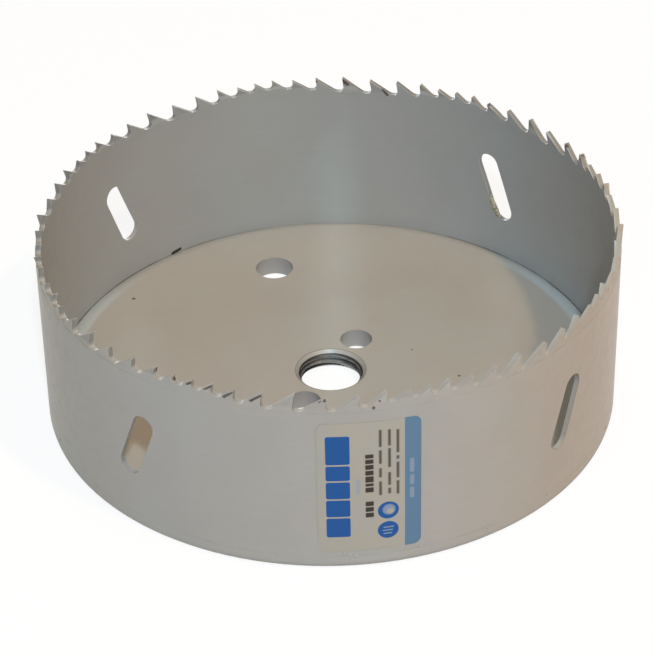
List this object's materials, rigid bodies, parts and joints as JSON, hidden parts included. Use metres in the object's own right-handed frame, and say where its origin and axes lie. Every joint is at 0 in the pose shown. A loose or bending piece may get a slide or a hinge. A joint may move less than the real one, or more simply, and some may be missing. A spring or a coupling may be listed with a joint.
{
  "type": "hole saw",
  "caption": "Large cup-shaped hole saw: a ring of set saw teeth on a painted band, slanted pry slots, and a backing plate with a threaded bore.",
  "frame": {"origin": "centre of the backing plate's flat underside, on the saw's axis", "axes": "+Z along the saw's axis, from the plate to the teeth; +X through the middle of one pry slot"},
  "size_m": [0.1392, 0.1392, 0.0478],
  "materials": {
    "painted_steel": "light grey semi-gloss paint over steel",
    "label_film": "cream printed film, satin"
  },
  "bodies": {
    "root": {"saw_band": "painted_steel", "backing_plate": "painted_steel", "rim_weld": "painted_steel", "label": "label_film"}
  },
  "joints": []
}
